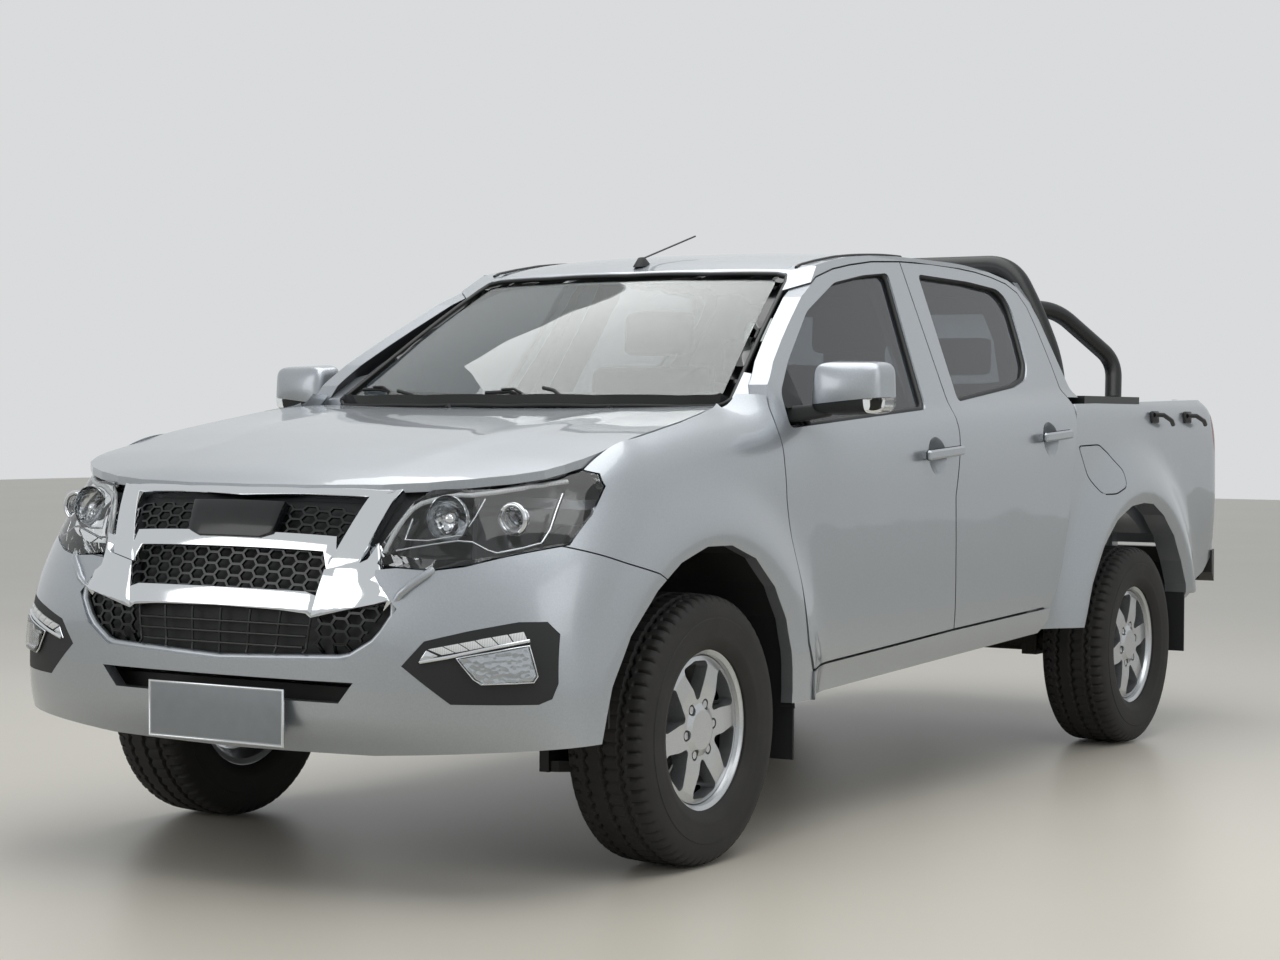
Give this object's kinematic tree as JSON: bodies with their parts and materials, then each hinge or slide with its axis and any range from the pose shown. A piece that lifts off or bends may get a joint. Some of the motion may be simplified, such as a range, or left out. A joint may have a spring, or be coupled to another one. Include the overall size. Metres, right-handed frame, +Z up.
{
  "type": "pickup truck",
  "caption": "Double-cab pickup truck with an open load bed, a tubular sports bar, alloy road wheels, opening doors, hood and tailgate.",
  "frame": {"origin": "on the floor, at the middle of the bounding box, midway between front and rear ends", "axes": "+X to the vehicle's left, -Y forward, +Z up"},
  "size_m": [2.2034, 5.126, 1.776],
  "materials": {
    "silver_paint": "gloss metallic",
    "window_glass": "tinted",
    "lamp_glass": "clear",
    "red_lamp": "gloss",
    "black_plastic": "grained",
    "black_steel": "satin",
    "chrome_trim": "polished",
    "cast_metal": "as cast",
    "alloy": "painted silver",
    "tyre_rubber": "matt",
    "seat_cloth": "woven"
  },
  "bodies": {
    "truck": {"cab_body": "silver_paint", "cab_glass": "window_glass", "chassis_frame": "black_steel", "dashboard": "black_plastic", "engine_block": "cast_metal", "fog_lamps": "lamp_glass", "front_arch_liners": "black_plastic", "front_bumper": "silver_paint", "front_seats": "seat_cloth", "front_suspension": "black_steel", "front_wing_left": "silver_paint", "front_wing_right": "silver_paint", "fuel_tank": "black_steel", "grille": "chrome_trim", "headlight_left": "lamp_glass", "headlight_right": "lamp_glass", "load_bed": "silver_paint", "mud_flaps": "black_plastic", "propeller_shaft": "cast_metal", "rear_axle": "cast_metal", "rear_bench": "seat_cloth", "rear_bumper": "silver_paint", "sports_bar": "black_steel", "tail_lights": "red_lamp"},
    "left_knuckle": {"knuckle_left": "cast_metal"},
    "right_knuckle": {"knuckle_right": "cast_metal"},
    "front_left_wheel": {"tyre_front_left": "tyre_rubber", "wheel_front_left": "alloy"},
    "front_right_wheel": {"tyre_front_right": "tyre_rubber", "wheel_front_right": "alloy"},
    "rear_left_wheel": {"tyre_rear_left": "tyre_rubber", "wheel_rear_left": "alloy"},
    "rear_right_wheel": {"tyre_rear_right": "tyre_rubber", "wheel_rear_right": "alloy"},
    "front_left_door": {"front_door_left": "silver_paint", "front_glass_left": "window_glass", "mirror_left": "silver_paint"},
    "front_right_door": {"front_door_right": "silver_paint", "front_glass_right": "window_glass", "mirror_right": "silver_paint"},
    "rear_left_door": {"rear_door_left": "silver_paint", "rear_glass_left": "window_glass"},
    "rear_right_door": {"rear_door_right": "silver_paint", "rear_glass_right": "window_glass"},
    "bonnet": {"hood": "silver_paint"},
    "gate": {"tailgate": "silver_paint"},
    "filler_flap": {"fuel_flap": "silver_paint"},
    "wheel_for_steering": {"steering_wheel": "black_plastic"}
  },
  "joints": [
    {"name": "steer_left", "type": "hinge", "parent": "truck", "child": "left_knuckle", "pos_m": [0.69, -1.64, 0.36], "axis": [0, 0, 1], "range_deg": [-30, 30]},
    {"name": "steer_right", "type": "hinge", "parent": "truck", "child": "right_knuckle", "pos_m": [-0.69, -1.64, 0.36], "axis": [0, 0, 1], "range_deg": [-30, 30]},
    {"name": "roll_front_left", "type": "hinge", "parent": "left_knuckle", "child": "front_left_wheel", "pos_m": [0.785, -1.64, 0.36], "axis": [1, 0, 0], "continuous": true},
    {"name": "roll_front_right", "type": "hinge", "parent": "right_knuckle", "child": "front_right_wheel", "pos_m": [-0.785, -1.64, 0.36], "axis": [1, 0, 0], "continuous": true},
    {"name": "roll_rear_left", "type": "hinge", "parent": "truck", "child": "rear_left_wheel", "pos_m": [0.785, 1.455, 0.36], "axis": [1, 0, 0], "continuous": true},
    {"name": "roll_rear_right", "type": "hinge", "parent": "truck", "child": "rear_right_wheel", "pos_m": [-0.785, 1.455, 0.36], "axis": [1, 0, 0], "continuous": true},
    {"name": "swing_front_left_door", "type": "hinge", "parent": "truck", "child": "front_left_door", "pos_m": [0.896, -1.22, 0.9], "axis": [0, 0, -1], "range_deg": [0, 65]},
    {"name": "swing_front_right_door", "type": "hinge", "parent": "truck", "child": "front_right_door", "pos_m": [-0.896, -1.22, 0.9], "axis": [0, 0, 1], "range_deg": [0, 65]},
    {"name": "swing_rear_left_door", "type": "hinge", "parent": "truck", "child": "rear_left_door", "pos_m": [0.896, -0.11, 0.9], "axis": [0, 0, -1], "range_deg": [0, 65]},
    {"name": "swing_rear_right_door", "type": "hinge", "parent": "truck", "child": "rear_right_door", "pos_m": [-0.896, -0.11, 0.9], "axis": [0, 0, 1], "range_deg": [0, 65]},
    {"name": "lift_hood", "type": "hinge", "parent": "truck", "child": "bonnet", "pos_m": [0, -1.236, 1.218], "axis": [-1, 0, 0], "range_deg": [0, 50]},
    {"name": "drop_tailgate", "type": "hinge", "parent": "truck", "child": "gate", "pos_m": [0, 2.458, 0.7], "axis": [-1, 0, 0], "range_deg": [0, 90]},
    {"name": "open_fuel_flap", "type": "hinge", "parent": "truck", "child": "filler_flap", "pos_m": [0.917, 0.948, 1], "axis": [0, 0, -1], "range_deg": [0, 95]},
    {"name": "turn_steering_wheel", "type": "hinge", "parent": "truck", "child": "wheel_for_steering", "pos_m": [0.37, -0.68, 1.08], "axis": [0, 0.9063, 0.4226], "range_deg": [-360, 360]}
  ],
  "couplings": [
    {"joint": "steer_right", "follows": "steer_left", "ratio": 1},
    {"joint": "turn_steering_wheel", "follows": "steer_left", "ratio": 12}
  ]
}
